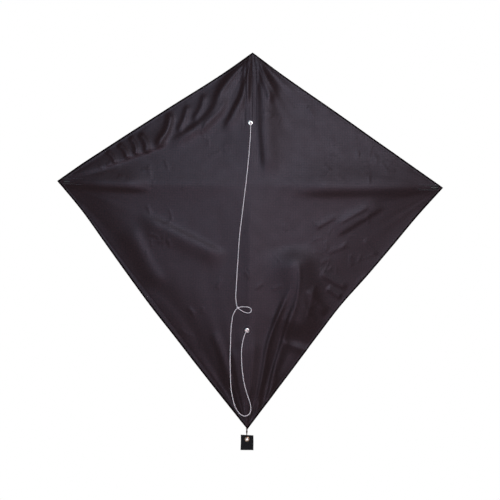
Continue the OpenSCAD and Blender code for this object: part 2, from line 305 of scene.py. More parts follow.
def lathe(name, profile, centre, axis, material, segments=64):
    """A turned piece: a closed outline of (radius, height) in mm, spun about an axis through centre."""
    outline = np.array(profile, float) * MM
    angle = turn(segments)[:, None]
    out = {"X": (1, 2, 0), "Y": (2, 0, 1), "Z": (0, 1, 2)}[axis]
    points = np.zeros((segments, len(outline), 3))
    points[..., out[0]] = np.cos(angle) * outline[:, 0]
    points[..., out[1]] = np.sin(angle) * outline[:, 0]
    points[..., out[2]] = outline[:, 1]
    faces = grid_faces(segments, len(outline), wrap=True, close=True)
    return make(name, points.reshape(-1, 3) + np.array(centre), faces, material, sharp=40)


def arc(centre, radius, start, end, count):
    """Points of an arc in a lathe's outline, its angles in degrees."""
    angle = np.radians(np.linspace(start, end, count))
    return [(centre[0] + radius * math.cos(a), centre[1] + radius * math.sin(a)) for a in angle]


# ---------------- materials

class Nodes:
    """A short way to write a material's nodes. Inputs go by name, or by number as i0, i1 and so on."""

    def __init__(self, name):
        self.material = bpy.data.materials.new(name)
        self.material.use_nodes = True
        self.tree = self.material.node_tree
        self.shader = self.tree.nodes["Principled BSDF"]

    def add(self, kind, out=0, settings=None, **inputs):
        node = self.tree.nodes.new("ShaderNode" + kind)
        for key, value in (settings or {}).items():
            setattr(node, key, value)
        for key, value in inputs.items():
            self.put(node, int(key[1:]) if key[1:].isdigit() else key.replace("_", " "), value)
        return node.outputs[out]

    def put(self, node, key, value):
        socket = node.inputs[key]
        if isinstance(value, bpy.types.NodeSocket):
            self.tree.links.new(value, socket)
        else:
            socket.default_value = (*value, 1) if socket.type == "RGBA" else value

    def math(self, operation, a, b=0):
        return self.add("Math", settings={"operation": operation}, i0=a, i1=b)

    def times(self, a, b):
        return self.math("MULTIPLY", a, b)

    def plus(self, a, b):
        return self.math("ADD", a, b)

    def wave(self, value, length):
        return self.math("SINE", self.times(value, 2 * math.pi / length))

    def uv(self):
        return self.add("UVMap", settings={"uv_map": "cloth"})

    def place(self):
        return self.add("TexCoord", out="Object")

    def split(self, vector):
        node = self.tree.nodes.new("ShaderNodeSeparateXYZ")
        self.tree.links.new(vector, node.inputs[0])
        return node.outputs

    def noise(self, vector, scale, detail=2, roughness=0.5):
        return self.add("TexNoise", Vector=vector, Scale=scale, Detail=detail, Roughness=roughness)

    def mix(self, share, a, b):
        node = self.tree.nodes.new("ShaderNodeMix")
        node.data_type = "RGBA"
        self.put(node, 0, share)
        self.put(node, 6, a)
        self.put(node, 7, b)
        return node.outputs[2]

    def between(self, value, low, high, to_low, to_high):
        return self.add("MapRange", i0=value, i1=low, i2=high, i3=to_low, i4=to_high)

    def shade(self, value, low, high, a, b, most=1):
        """Colour a where the value is low, and up to the share most of colour b where it is high."""
        return self.mix(self.between(value, low, high, 0, most), a, b)

    def bump(self, height, strength, distance, under=None):
        below = {} if under is None else {"Normal": under}
        return self.add("Bump", Height=height, Strength=strength, Distance=distance, **below)

    def finish(self, color, roughness, normal, **fixed):
        for key, value in dict(fixed, Base_Color=color, Roughness=roughness, Normal=normal).items():
            self.put(self.shader, key.replace("_", " "), value)
        return self.material


RIPSTOP_GRID = 5 * MM  # spacing of the thicker threads
THREAD = 0.3 * MM  # spacing of the ordinary threads


def ripstop(name="ripstop", gloss=0.242, duller=0, painted_shade_factor=1):
    """Coated ripstop: a fine plain weave, a grid of thicker threads, and a mottled tint. A shade factor below 1
    darkens the whole colour as painted shade.
    """
    def dyed_and_shaded(r, g, b):
        return 0.66 * r * painted_shade_factor, 0.56 * g * painted_shade_factor, 0.50 * b * painted_shade_factor

    n = Nodes(name)
    place = n.uv()
    across, up = n.split(place)[0:2]
    lines = [n.between(n.math("PINGPONG", way, RIPSTOP_GRID / 2), 0.1 * MM, 0.5 * MM, 1, 0)
             for way in (across, up)]
    grid = n.math("MAXIMUM", *lines)
    weave = n.times(n.wave(across, THREAD), n.wave(up, THREAD))
    patch = n.noise(place, 9, 3, 0.55)
    mottle = n.noise(place, 320, 4, 0.8)
    tint = n.shade(patch, 0.35, 0.65, dyed_and_shaded(0.018, 0.0125, 0.0150), dyed_and_shaded(0.022, 0.0125, 0.0130))
    color = n.shade(mottle, 0.40, 0.62, tint, dyed_and_shaded(0.042, 0.024, 0.028), 0.9)
    color = n.mix(n.times(grid, 0.35), color, dyed_and_shaded(0.010, 0.011, 0.013))
    rough = n.between(n.noise(place, 45, 3, 0.6), 0.3, 0.7, 0.41 + duller, 0.45 + duller)
    rough = n.plus(rough, n.times(grid, 0.08))
    soft = n.bump(n.noise(place, 190, 4, 0.65), 0.14, 0.25 * MM)
    raised = n.bump(n.plus(n.times(weave, 0.5), grid), 0.30, 0.04 * MM, soft)
    return n.finish(color, rough, raised, Specular_IOR_Level=gloss, Specular_Tint=(0.87, 0.82, 1))


def heavy_cloth():
    """The pockets' cloth: a coarse matte plain weave, with painted shade in its hollows."""
    n = Nodes("pocket_cloth")
    place = n.uv()
    across, up = n.split(place)[0:2]
    weave = n.times(n.wave(across, 0.7 * MM), n.wave(up, 0.7 * MM))
    fuzz = n.noise(place, 900, 2, 0.6)
    # painted shade: the weave's low places are coloured darker
    color = n.shade(weave, -1, 1, (0.012, 0.011, 0.013), (0.028, 0.026, 0.030))
    color = n.shade(n.noise(place, 60), 0.3, 0.7, color, (0.035, 0.031, 0.034), 0.4)
    height = n.plus(weave, n.times(fuzz, 0.6))
    return n.finish(color, n.between(fuzz, 0.3, 0.7, 0.75, 0.92), n.bump(height, 0.6, 0.08 * MM),
                    Sheen_Weight=0.25, Sheen_Roughness=0.5)


def sewing_thread(color):
    """Sewing thread, with a fine twist along it, and painted shade in the twist's grooves."""
    n = Nodes("stitch_thread")
    turns, along = n.split(n.uv())[0:2]
    ply = n.math("SINE", n.plus(n.times(along, 2 * math.pi / (0.5 * MM)), n.times(turns, 4 * math.pi)))
    fuzz = n.noise(n.place(), 2500, 2, 0.6)
    painted_groove_shade, light = ([share * c for c in color] for share in (0.55, 1.25))
    # painted shade: the thread is coloured darker where its ply is low
    body = n.shade(ply, -1, 1, painted_groove_shade, color)
    body = n.shade(fuzz, 0.35, 0.65, body, light, 0.3)
    return n.finish(body, n.between(fuzz, 0.3, 0.7, 0.55, 0.8), n.bump(ply, 0.4, 0.05 * MM),
                    Sheen_Weight=0.3, Sheen_Roughness=0.4)


def braided(name, light, painted_groove_shade, strands=4, pitch=3.4 * MM):
    """Braided cord: the strands' own fibres, and painted shade in the gaps between them."""
    n = Nodes(name)
    around, along = n.split(n.uv())[0:2]
    turns, runs = n.times(around, strands), n.times(along, 2 / pitch)
    one, two = (n.math("ABSOLUTE", n.math("SINE", n.times(n.math(way, turns, runs), math.pi)))
                for way in ("ADD", "SUBTRACT"))
    high = n.math("MAXIMUM", one, two)
    fibre = n.noise(n.place(), 4000, 2, 0.7)
    soil = n.noise(n.place(), 60, 3, 0.6)
    # painted shade: the cord is coloured darker in the gaps between its strands
    color = n.shade(high, 0.55, 0.95, painted_groove_shade, light)
    color = n.shade(soil, 0.45, 0.75, color, [0.85 * c for c in light], 0.25)
    height = n.plus(high, n.times(fibre, 0.4))
    return n.finish(color, n.between(fibre, 0.3, 0.7, 0.5, 0.75), n.bump(height, 0.7, 0.06 * MM),
                    Sheen_Weight=0.3, Sheen_Roughness=0.35)


def webbing():
    """Black nylon webbing: ribs across, the warp's fine cords along it, and painted shade in the hollows between
    them.
    """
    n = Nodes("webbing")
    place = n.uv()
    across, up = n.split(place)[0:2]
    fuzz = n.noise(place, 1500, 3, 0.6)
    height = n.plus(n.times(n.wave(across, 0.9 * MM), n.wave(up, 0.5 * MM)), n.times(fuzz, 0.6))
    # painted shade: the webbing is coloured darker where its ribs and cords are low
    color = n.shade(height, -0.6, 1.3, (0.0020, 0.0020, 0.0028), (0.0085, 0.0085, 0.0105))
    color = n.shade(n.noise(place, 120), 0.4, 0.7, color, (0.012, 0.012, 0.013), 0.4)
    return n.finish(color, n.between(fuzz, 0.3, 0.7, 0.6, 0.85), n.bump(height, 0.7, 0.1 * MM),
                    Sheen_Weight=0.06, Sheen_Roughness=0.4, Specular_IOR_Level=0.25)


def metal(name, base, worn, roughness):
    """Plated metal: fine scratches, dull patches, and a duller colour where it has worn."""
    n = Nodes(name)
    place = n.place()
    patches = n.noise(place, 700, 4, 0.6)
    lines = n.noise(n.add("Mapping", Vector=place, Scale=(4000, 900, 300)), 1, 2, 0.5)
    color = n.shade(patches, 0.5, 0.75, base, worn)
    rough = n.plus(n.between(lines, 0.3, 0.7, roughness, roughness + 0.12),
                   n.between(patches, 0.5, 0.8, 0, 0.18))
    return n.finish(color, rough, n.bump(lines, 0.12, 0.02 * MM), Metallic=1)


def fibreglass():
    """A black pultruded rod: fine streaks along it and a satin skin."""
    n = Nodes("fibreglass")
    place = n.place()
    streak, cross = (n.noise(n.add("Mapping", Vector=place, Scale=stretch), 1, 3, 0.6)
                     for stretch in ((1500, 1500, 40), (40, 1500, 1500)))
    on_spar = n.math("GREATER_THAN", n.math("ABSOLUTE", n.split(place)[0]), 10 * MM)
    grain = n.plus(n.times(on_spar, cross), n.times(n.math("SUBTRACT", 1, on_spar), streak))
    color = n.shade(grain, 0.35, 0.65, (0.008, 0.008, 0.009), (0.024, 0.023, 0.022))
    return n.finish(color, n.between(grain, 0.3, 0.7, 0.28, 0.46), n.bump(grain, 0.3, 0.03 * MM))


def vinyl():
    """Soft black vinyl: a faint orange-peel skin, scuffed dull in patches."""
    n = Nodes("vinyl")
    place = n.place()
    peel = n.noise(place, 1800, 2, 0.5)
    scuff = n.noise(place, 220, 4, 0.65)
    color = n.shade(scuff, 0.5, 0.75, (0.012, 0.012, 0.013), (0.035, 0.034, 0.034))
    return n.finish(color, n.between(scuff, 0.4, 0.75, 0.38, 0.65), n.bump(peel, 0.25, 0.05 * MM),
                    Coat_Weight=0.15, Coat_Roughness=0.35)


RIPSTOP = ripstop()
# the hem's cloth is coloured much darker: painted shade that draws a dark outline round the sail's edges
HEM_CLOTH_PAINTED_DARK = ripstop("ripstop_hem_painted_dark", gloss=0.03, duller=0.2, painted_shade_factor=0.3)
POCKET_CLOTH = heavy_cloth()
STITCH = sewing_thread((0.085, 0.082, 0.105))
BRIDLE_CORD = braided("bridle_cord", (0.90, 0.85, 0.89), (0.58, 0.53, 0.57))
TAN_CORD = braided("tan_cord", (0.50, 0.34, 0.18), (0.24, 0.15, 0.07), strands=3, pitch=2.2 * MM)
WEBBING = webbing()
NICKEL = metal("nickel", (0.56, 0.54, 0.53), (0.40, 0.38, 0.36), 0.20)
BRONZE = metal("bronze", (0.045, 0.016, 0.010), (0.11, 0.055, 0.030), 0.38)
OLD_BRASS = metal("old_brass", (0.34, 0.25, 0.18), (0.20, 0.13, 0.08), 0.26)
FIBREGLASS = fibreglass()
VINYL = vinyl()


# ---------------- the sail's outline

def rounded_steps(values, u):
    """A smooth curve through evenly spaced values, at u from 0 to 1."""
    v = np.array(values, float)
    v = np.concatenate([[2 * v[0] - v[1]], v, [2 * v[-1] - v[-2]]])
    spans = len(values) - 1
    t = np.clip(u, 0, 1) * spans
    i = np.minimum(t.astype(int), spans - 1)
    t = t - i
    a, b, c, d = v[i], v[i + 1], v[i + 2], v[i + 3]
    return b + 0.5 * t * (c - a + t * (2 * a - 5 * b + 4 * c - d + t * (3 * (b - c) + d - a)))


# How far each edge lies outside a straight line, in mm at even steps from the spine to the tip
EDGE_SWELL = {
    (-1, "upper"): (0, -1.7, -1.4, 0.2, 1.3, 2.2, 2.6, 2.4, 0),
    (1, "upper"): (0, -2.2, -2.4, -1.7, -1.3, -1.4, -1.2, -0.9, 0),
    (-1, "lower"): (0, 2.7, 4.1, 4.5, 5.4, 3.8, 1.2, -1.7, 0),
    (1, "lower"): (0, -1.0, -3.4, -6.9, -9.2, -6.0, -4.5, -3.8, 0),
}
SWELL_FADE = 6  # how quickly an edge's swell fades into the sail

# How far each corner is pulled from where it is cut, in mm right and up
NOSE_PULL = (-1.0, -1.0)
TAIL_PULL = (1.2, -2.3)
TIP_PULL = {-1: (-1.7, 0.4), 1: (-1.2, -0.3)}
PULL_FADE = 9  # how quickly a corner's pull fades into the sail


def edge_run(side, edge):
    """One edge as it is cut: its start on the spine, its direction and the way inward."""
    start = np.array([0.0, NOSE_Z if edge == "upper" else TAIL_Z])
    run = unit(np.array([side * HALF_SPAN, 0.0]) - start)
    inward = np.array([-run[1], run[0]])
    return start, run, inward if inward @ start < 0 else -inward


def shaped(side, x, z):
    """Moves points of the cut outline, straight edges and all, to the real sail's outline."""
    share_tip = np.abs(x) / HALF_SPAN
    rest = 1 - share_tip  # shared by the nose and the tail
    share_nose = (z - rest * TAIL_Z) / (NOSE_Z - TAIL_Z)
    share_tail = rest - share_nose
    x, z = x.copy(), z.copy()
    for edge, other, own in (("upper", share_tail, share_nose), ("lower", share_nose, share_tail)):
        along = share_tip / np.maximum(share_tip + np.maximum(own, 0), 1e-9)
        swell = rounded_steps(EDGE_SWELL[side, edge], along) * MM
        weight = np.clip(1 - other, 0, 1) ** SWELL_FADE
        inward = edge_run(side, edge)[2]
        x -= inward[0] * swell * weight
        z -= inward[1] * swell * weight
    for share, pull in ((share_nose, NOSE_PULL), (share_tail, TAIL_PULL), (share_tip, TIP_PULL[side])):
        weight = np.clip(share, 0, 1) ** PULL_FADE
        x += pull[0] * MM * weight
        z += pull[1] * MM * weight
    return x, z


# ---------------- the sail's relief

# Folds in mm: height, half width of the steep flank, width of the gentle one, and the line along
# the steep flank. The crest lies to the right of a line's own direction.
FOLDS = [
    # from the nose, left of the spine
    (2.8, 6.5, 14, [(-172, 72), (-150, 92), (-112, 118), (-80, 152), (-66, 190), (-47, 218), (-26, 242),
                    (-8, 262)]),
    (2.6, 5.0, 12, [(-62, 100), (-48, 128), (-38, 150), (-24, 180), (-18, 230), (-10, 270)]),
    (1.2, 4.0, 10, [(-104, 98), (-90, 124), (-66, 148), (-54, 176)]),
    (1.4, 2.8, 4, [(-11, 150), (-11, 215), (-8, 275)]),
    # from the nose, right of the spine
    (2.2, 4.5, 10, [(31, 156), (29, 182), (17, 210), (5, 258)]),
    (1.2, 3.2, 9, [(48, 172), (36, 194), (24, 214), (6, 256)]),
    (3.4, 7.5, 26, [(26, 8), (21, 60), (16, 110), (13, 160), (8, 240)]),
    (1.4, 2.6, 4, [(6, 190), (4.5, 230), (3, 280)]),
    # the left wing above the spar
    (1.7, 3.8, 24, [(-140, 88), (-219, 55), (-296, 26), (-378, 2), (-420, -12)]),
    (1.6, 4.0, 6, [(-272, 34), (-276, 46), (-290, 60)]),
    (1.9, 4.4, 7, [(-248, 44), (-252, 58), (-268, 74)]),
    (2.0, 4.4, 7, [(-233, 52), (-233, 70), (-246, 90)]),
    (2.2, 5.0, 8, [(-212, 56), (-213, 76), (-227, 96)]),
    (3.4, 6.5, 9, [(-191, 66), (-186, 84), (-173, 106), (-165, 146)]),
    (1.7, 5.0, 8, [(-152, 100), (-140, 124), (-130, 160)]),
    (1.5, 5.0, 8, [(-122, 124), (-106, 150), (-98, 182)]),
    # under the spar, at both tips
    (3.4, 5.0, 26, [(-190, -17), (-284, -14), (-340, -11), (-372, -7), (-440, 4)]),
    (2.8, 8.5, 42, [(440, 0), (372, -6), (300, -12), (220, -15), (70, -19)]),
    # the left wing below the spar
    (2.8, 8.0, 24, [(-222, -56), (-160, -84), (-100, -112), (-38, -141)]),
    (2.0, 10.0, 26, [(-232, -76), (-204, -136), (-160, -206)]),
    (0.9, 9.0, 26, [(-206, -196), (-140, -262), (-90, -330)]),
    # the right wing
    (1.4, 4.2, 24, [(270, -40), (241, -57), (218, -72), (193, -88), (166, -104)]),
    (0.7, 2.4, 8, [(240, -40), (206, -60), (172, -80)]),
    (0.6, 2.4, 8, [(176, -62), (150, -76), (128, -90)]),
    (0.35, 2.4, 7, [(194, -122), (172, -130), (152, -138)]),
    (0.6, 2.4, 6, [(252, -140), (238, -124), (222, -106)]),
    (1.4, 4.0, 9, [(194, -208), (165, -193), (136, -176)]),
    (1.4, 3.4, 8, [(182, -226), (150, -204)]),
    (1.6, 4.4, 10, [(152, -258), (132, -234), (110, -208)]),
    # the long folds above the tail
    (3.2, 5.0, 7, [(6, -500), (14, -456), (26, -372), (37, -309), (62, -240), (80, -196)]),
    (2.8, 3.4, 10, [(18, -486), (38, -420), (51, -358), (63, -315), (81, -253), (94, -216)]),
    (3.0, 9.0, 9, [(130, -338), (106, -330), (88, -324), (62, -316)]),
    (8.0, 27.0, 45, [(108, -112), (116, -160), (126, -210), (126, -262), (110, -320)]),
    (0.6, 2.4, 6, [(150, -262), (130, -240), (112, -222)]),
    (0.5, 2.2, 6, [(136, -280), (118, -258), (104, -236)]),
    (0.8, 2.8, 6, [(84, -262), (92, -222), (96, -180), (92, -150)]),
    (0.5, 2.8, 6, [(110, -272), (120, -232), (128, -190)]),
    (2.4, 13.0, 20, [(2, -280), (4, -350), (4, -430), (2, -520)]),
    (1.2, 5.0, 12, [(-42, -416), (-52, -360), (-78, -290)]),
    (1.0, 4.0, 12, [(4, -424), (9, -360), (7, -300)]),
    (1.2, 5.0, 14, [(-24, -430), (-28, -380), (-38, -320)]),
]
FOLD_FADE = 0.22  # share of a fold's length over which each end fades

# Where the cloth is crumpled in short random wrinkles, in mm: left, right, bottom, top, how many
CRUMPLED = [
    (150, 300, 12, 92, 22), (125, 245, -190, -60, 20), (118, 150, -280, -235, 4),
    (-215, -150, -150, -50, 12), (-110, -45, 60, 125, 8), (-130, -60, -370, -250, 9), (30, 120, 120, 190, 8),
    (-330, -120, -40, 40, 10), (-60, 80, -240, -60, 10),
]
WRINKLE = (0.28, 2.2, 4.0)  # height, steep flank and gentle flank of one

# Pleats that fan out of a corner: where, how far they reach, their height, how many a radian, a seed
FANS = [
    ((0, NOSE_Z / MM), 48, 0.40, 4.0, 3),
    ((0, TAIL_Z / MM), 80, 0.50, 4.5, 11),
    ((-HALF_SPAN / MM, 0), 60, 0.12, 4.0, 23),
    ((HALF_SPAN / MM, 0), 70, 0.12, 4.0, 31),
]
DISH = 4.5  # how far the panels lie behind the rods
DISH_X = 62  # distances over which they fall back from the spine
DISH_Z_ABOVE = 46  # and from the spar
DISH_Z_BELOW = 34
SPINE_ROUND = 3  # how gently the cloth turns back beside the spine
SPAR_ROUND = 8  # and beside the spar
EYELET_HOLD = 9  # how far around itself an eyelet holds the cloth flat
CREASES = 46  # plane waves in the cloth's small unevenness
CREASE_HEIGHT = 0.10


def nearest(line, x, z):
    """Distance of points from a line, positive to its right, and how far along it they are."""
    best = np.full(x.shape, 1e9)
    share = np.zeros(x.shape)
    marks = distances(line)
    for k in range(len(line) - 1):
        a, b = line[k], line[k + 1]
        run = b - a
        length = np.linalg.norm(run)
        t = np.clip(((x - a[0]) * run[0] + (z - a[1]) * run[1]) / length**2, 0, 1)
        dx, dz = x - a[0] - t * run[0], z - a[1] - t * run[1]
        away = np.hypot(dx, dz) * np.where(dx * run[1] - dz * run[0] >= 0, 1, -1)
        closer = np.abs(away) < np.abs(best)
        best = np.where(closer, away, best)
        share = np.where(closer, (marks[k] + t * length) / marks[-1], share)
    return best, share


def wrinkles():
    """The crumpled places' short folds, drawn at random but always the same."""
    draw = np.random.default_rng(17)
    tall, steep, gentle = WRINKLE
    made = []
    for left, right, bottom, top, count in CRUMPLED:
        for _ in range(count):
            x, z = draw.uniform(left, right), draw.uniform(bottom, top)
            way, reach, bend = draw.uniform(0, 2 * math.pi), draw.uniform(7, 17), draw.uniform(-4, 4)
            dx, dz = reach * math.cos(way), reach * math.sin(way)
            line = [(x - dx, z - dz), (x - bend * math.sin(way), z + bend * math.cos(way)), (x + dx, z + dz)]
            size = draw.uniform(0.6, 1.3)
            made.append((tall * size, steep * size, gentle * size, line))
    return made


ALL_FOLDS = FOLDS + wrinkles()


def folds(x, z):
    """Height of the folds above the cloth, all in mm."""
    height = np.zeros(x.shape)
    for tall, steep, gentle, line in ALL_FOLDS:
        path = smooth(line, 5)
        reach = 2.5 * gentle
        close = ((x > path[:, 0].min() - reach) & (x < path[:, 0].max() + reach)
                 & (z > path[:, 1].min() - reach) & (z < path[:, 1].max() + reach))
        if not close.any():
            continue
        away, along = nearest(path, x[close], z[close])
        rise = 0.5 * (1 + np.tanh(away / steep * 1.2))
        fall = np.exp(-(np.maximum(away - 0.35 * gentle, 0) / gentle) ** 2)
        ends = ease(along / FOLD_FADE) * ease((1 - along) / FOLD_FADE)
        height[close] += tall * rise * fall * ends
    return height


def fans(x, z):
    height = np.zeros(x.shape)
    for (cx, cz), reach, tall, pleats, seed in FANS:
        draw = np.random.default_rng(seed)
        angle = np.arctan2(z - cz, x - cx) % (2 * math.pi)
        away = np.hypot(x - cx, z - cz) / reach
        wave = sum(
            share * np.sin(2 * math.pi * pleats * pace * angle + draw.uniform(0, 6.28))
            for share, pace in ((0.6, 0.5), (0.5, 1.0), (0.3, 1.7))
        )
        height += tall * wave * away * np.exp(1 - away)
    return height


def unevenness(x, z):
    """Faint creases in all directions, stronger in some places than in others."""
    draw = np.random.default_rng(5)
    height = np.zeros(x.shape)
    for _ in range(CREASES):
        long = draw.uniform(16, 60)
        way = draw.uniform(0, math.pi)
        phase = draw.uniform(0, 6.28)
        height += long / 60 * np.sin(2 * math.pi * (x * math.cos(way) + z * math.sin(way)) / long + phase)
    strong = 0.6 + 0.4 * np.sin(x / 61 + 1) * np.sin(z / 47 + 2)
    return height / math.sqrt(CREASES) * strong * CREASE_HEIGHT


# How far the cloth near an edge hangs back, and how wide that band is, in mm
EDGE_ROLL = {
    (-1, "upper"): (1.2, 30), (1, "upper"): (0.0, 30),
    (-1, "lower"): (5.5, 40), (1, "lower"): (6.0, 70),
}


def from_edge(side, edge, x, z):
    """How far inside an edge points lie, and how far along it, in mm."""
    start, run, inward = edge_run(side, edge)
    px, pz = x - start[0] / MM, z - start[1] / MM
    return px * inward[0] + pz * inward[1], px * run[0] + pz * run[1]


def edge_roll(side, x, z):
    behind = np.zeros(x.shape)
    for edge in ("upper", "lower"):
        deep, _ = from_edge(side, edge, x, z)
        tall, wide = EDGE_ROLL[side, edge]
        behind += tall * np.exp(-((deep / wide) ** 2)) * np.clip(np.abs(x) / 60, 0, 1)
    return behind


def hem_pucker(side, x, z):
    """The groove that the hem's stitches pull, and the ripples they gather outside it."""
    height = np.zeros(x.shape)
    for edge in ("upper", "lower"):
        deep, along = from_edge(side, edge, x, z)
        groove = -0.28 * np.exp(-((deep - HEM_STITCH) / 1.3) ** 2)
        ripple = 0.05 * np.sin(along / 2.3 + 2.2 * np.sin(along / 23)) + 0.08 * np.sin(along / 5.3)
        height += groove + ripple * np.exp(-((deep - 2.5) / 4.5) ** 2)
    return height


def seams(x, z):
    """How far the nose strip's rows of stitches draw the sail back."""
    held = ease((z - STRIP_LOW) / 8) * ease((STRIP_HIGH - z) / 8)
    return sum(0.35 * np.exp(-(((x - row) / 1.3) ** 2)) for row in STRIP_SEAMS) * held


STRIP_SEAMS = (-14.6, -0.5, 6.4)  # the strip's rows of stitches, in mm right of the spine
STRIP_LOW, STRIP_HIGH = 112, 256  # where those rows start and end
HEM_STITCH = 4.6  # distance of the hem's stitching from the edge, in mm


def sail_y(side, x, z):
    """Where the middle of the sail cloth lies. The panels fall back between the rods."""
    px, pz = x / MM, z / MM
    from_spine = 1 - np.exp(-(np.hypot(px, SPINE_ROUND) - SPINE_ROUND) / DISH_X)
    fall = np.where(pz > 0, DISH_Z_ABOVE, DISH_Z_BELOW)
    from_spar = 1 - np.exp(-(np.hypot(pz, SPAR_ROUND) - SPAR_ROUND) / fall)
    behind = DISH * from_spine * from_spar
    relief = folds(px, pz) + fans(px, pz) + unevenness(px, pz) + hem_pucker(side, px, pz) - seams(px, pz)
    for eye in (UPPER_EYE, LOWER_EYE):
        away = np.hypot(px - eye.x / MM, pz - eye.z / MM)
        relief = relief * (1 - np.exp(-((away / EYELET_HOLD) ** 2)))
    return (behind + edge_roll(side, px, pz) - relief) * MM


# ---------------- the sail

SAIL_STEPS = 288  # divisions along each side of a half sail
EYE_HOLE = 3.4 * MM  # radius of the holes in the sail's cloth
SAIL_FRONT = -0.22  # where the front of the cloth lies at those holes, in mm
FOLD_FROM = FOLD_X - 0.5 * MM  # two distances about the wing's fold line
FOLD_TO = FOLD_X + 4 * MM


def wing_body(side):
    return "left_wing" if side < 0 else "right_wing"


def word(side):
    return "left" if side < 0 else "right"


def fold_back(obj, side):
    """Bakes the piece's place into its mesh."""
    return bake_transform(obj, "centre", wing_body(side), start=(side * FOLD_FROM, 0, 0), end=(side * FOLD_TO, 0, 0))


def half_sail(side):
    """Points of the cut in columns parallel to the spine, and the faces between them."""
    n = SAIL_STEPS
    first = [int(k) for k in np.cumsum([0] + [n - i + 1 for i in range(n + 1)])]
    share = [(i / n, j / n) for i in range(n + 1) for j in range(n - i + 1)]
    tip, nose = np.array(share).T
    flat = np.column_stack([side * tip * HALF_SPAN, nose * NOSE_Z + (1 - tip - nose) * TAIL_Z])
    faces = []
    for i in range(n):
        here, there = first[i], first[i + 1]
        for j in range(n - i - 1):
            faces.append((here + j, there + j, there + j + 1, here + j + 1))
        faces.append((here + n - i - 1, there + n - i - 1, here + n - i))
    return flat, faces


def sail(side):
    flat, faces = half_sail(side)
    flat, faces, _ = punch(flat, faces, (UPPER_EYE, LOWER_EYE), EYE_HOLE)
    x, z = shaped(side, flat[:, 0], flat[:, 1])
    points = np.column_stack([x, sail_y(side, x, z), z])
    solid, faces = thicken(points, faces, CLOTH)
    obj = make(f"sail_cloth_{word(side)}", solid, faces, RIPSTOP, np.vstack([flat, flat]))
    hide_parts(f"sail_{word(side)}", "sail_centre")
    return fold_back(obj, side)


# ---------------- hems and stitches

# The hem's section in mm: distance inward from the edge, and behind the middle of the sail
HEM_SECTION = [
    (6.0, 0.18), (4.5, 0.18), (3.0, 0.18), (2.3, 0.16), (2.3, -0.17), (2.2, -0.28), (1.4, -0.36),
    (0.3, -0.38), (-0.4, -0.30), (-0.75, -0.02), (-0.8, 0.22), (-0.65, 0.48), (-0.2, 0.68),
    (0.9, 0.62), (2.0, 0.56), (3.2, 0.60), (4.2, 0.52), (5.0, 0.46), (5.7, 0.54), (6.0, 0.44),
]
HEM_STEPS = 240
STITCH_PITCH = 3.0 * MM
STITCH_R = 0.26 * MM


def edge_line(side, edge, inward_by, steps):
    """The line at a distance inside an edge, from the spine to the level of the spar."""
    start, run, inward = edge_run(side, edge)
    begin = -inward[0] * inward_by / run[0]
    end = -(start[1] + inward[1] * inward_by) / run[1]
    t = np.linspace(begin, end, steps)[:, None]
    return start + run * t + inward * inward_by


def on_sail(side, flat, behind):
    """Points of the cut laid on the sail, some distance behind the middle of its cloth."""
    x, z = shaped(side, flat[:, 0], flat[:, 1])
    return np.column_stack([x, sail_y(side, x, z) + behind, z])


def hem(side, edge):
    strands = [edge_line(side, edge, inward * MM, HEM_STEPS) for inward, _ in HEM_SECTION]
    rows = [on_sail(side, flat, behind * MM) for flat, (_, behind) in zip(strands, HEM_SECTION)]
    count = len(HEM_SECTION)
    faces = grid_faces(HEM_STEPS, count, wrap=True) + end_faces(count, (HEM_STEPS - 1) * count)
    node = f"{word(side)}_{edge}_hem"
    points, uv = (np.stack(lines, axis=1) for lines in (rows, strands))
    obj = make(f"{node}_band", points.reshape(-1, 3), faces, HEM_CLOTH_PAINTED_DARK, uv.reshape(-1, 2))
    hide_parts(node)
    return fold_back(obj, side)


def stitches(name, lines, pitch=STITCH_PITCH):
    """Sewing thread along lines of points, each line with the way out of the cloth it lies on."""
    rings, sides = 5, 6
    around = turn(sides)[None, :, None]
    made = []
    for line, out in lines:
        marks = spaced(line, pitch / 2)
        marks = marks[: (len(marks) - 1) // 2 * 2 + 1]
        run = marks[2::2] - marks[0:-1:2]
        ahead = unit(run)
        up = unit(np.array(out, float) - ahead * (ahead @ np.array(out, float))[:, None])
        side = np.cross(ahead, up)
        shapes = []
        for t in np.linspace(0, 1, rings):
            bulge = math.sin(math.pi * t)
            centre = marks[0:-1:2] + run * (0.10 + 0.80 * t) + up * STITCH_R * (1.1 * bulge - 0.55)
            thick = STITCH_R * (0.35 + 0.65 * bulge**0.5)
            ring = np.cos(around) * up[:, None] + np.sin(around) * side[:, None]
            shapes.append(centre[:, None] + thick * ring)
        made.append(np.stack(shapes, axis=1))
    solid = np.concatenate(made)
    one = grid_faces(rings, sides, wrap=True) + end_faces(sides, (rings - 1) * sides)
    faces = [tuple(i + s * rings * sides for i in f) for s in range(len(solid)) for f in one]
    uv = [(j / sides, k / (rings - 1) * pitch) for k in range(rings) for j in range(sides)]
    return make(name, solid.reshape(-1, 3), faces, STITCH, np.tile(uv, (len(solid), 1)), sharp=70)


def both_faces(line, behind):
    """The same line of stitches on the sail's front and, some distance behind its middle, on the back."""
    return [(line - (0, CLOTH / 2, 0), (0, -1, 0)), (line + (0, behind, 0), (0, 1, 0))]


def hem_stitches(side, edge):
    line = on_sail(side, edge_line(side, edge, HEM_STITCH * MM, 400)[4:-4], 0)
    return fold_back(stitches(f"{word(side)}_{edge}_hem_stitches", both_faces(line, BEHIND_HEM)), side)


# ---------------- nose strip and patch

def centre_y(x, z):
    """The sail's middle anywhere near the spine, whichever half it is on."""
    return np.where(x < 0, sail_y(-1, x, z), sail_y(1, x, z))


def on_centre(x, z):
    return np.column_stack([x, centre_y(x, z), z])


def backing(node, flat, faces):
    """A second layer of cloth behind the sail, sewn to it near the spine."""
    solid, faces = thicken(on_centre(flat[:, 0], flat[:, 1]) + (0, BACKING, 0), faces, CLOTH)
    obj = make(f"{node}_cloth", solid, faces, RIPSTOP, np.vstack([flat, flat]))
    return stand_in(obj, node, "centre")


